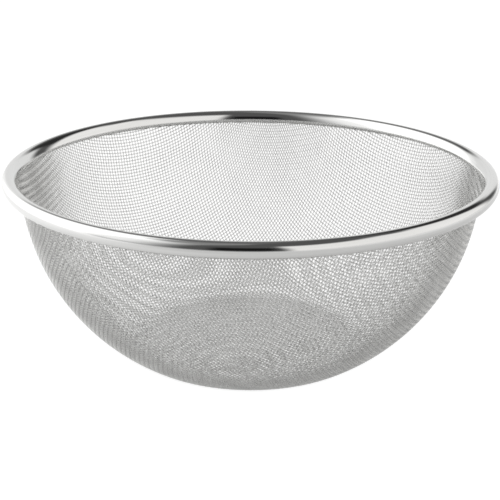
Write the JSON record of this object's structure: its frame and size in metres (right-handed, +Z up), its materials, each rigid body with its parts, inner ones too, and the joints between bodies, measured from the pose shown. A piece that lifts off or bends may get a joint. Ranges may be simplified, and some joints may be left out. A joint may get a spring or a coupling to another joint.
{
  "type": "mesh strainer bowl",
  "caption": "Round strainer bowl of woven stainless wire cloth with a slightly flattened bottom and a polished, rolled round rim.",
  "frame": {"origin": "centre of the underside of the flat base, on the surface that the bowl stands on", "axes": "+Z up along the bowl's axis, out of its mouth; X and Y are level"},
  "size_m": [0.24, 0.24, 0.095],
  "materials": {
    "wire_cloth": "bright drawn stainless wire, woven",
    "polished_strip": "mirror-polished stainless strip",
    "core_wire": "drawn stainless wire"
  },
  "bodies": {
    "root": {"mesh_bowl": "wire_cloth", "rim_band": "polished_strip", "rim_core_wire": "core_wire"}
  },
  "joints": []
}
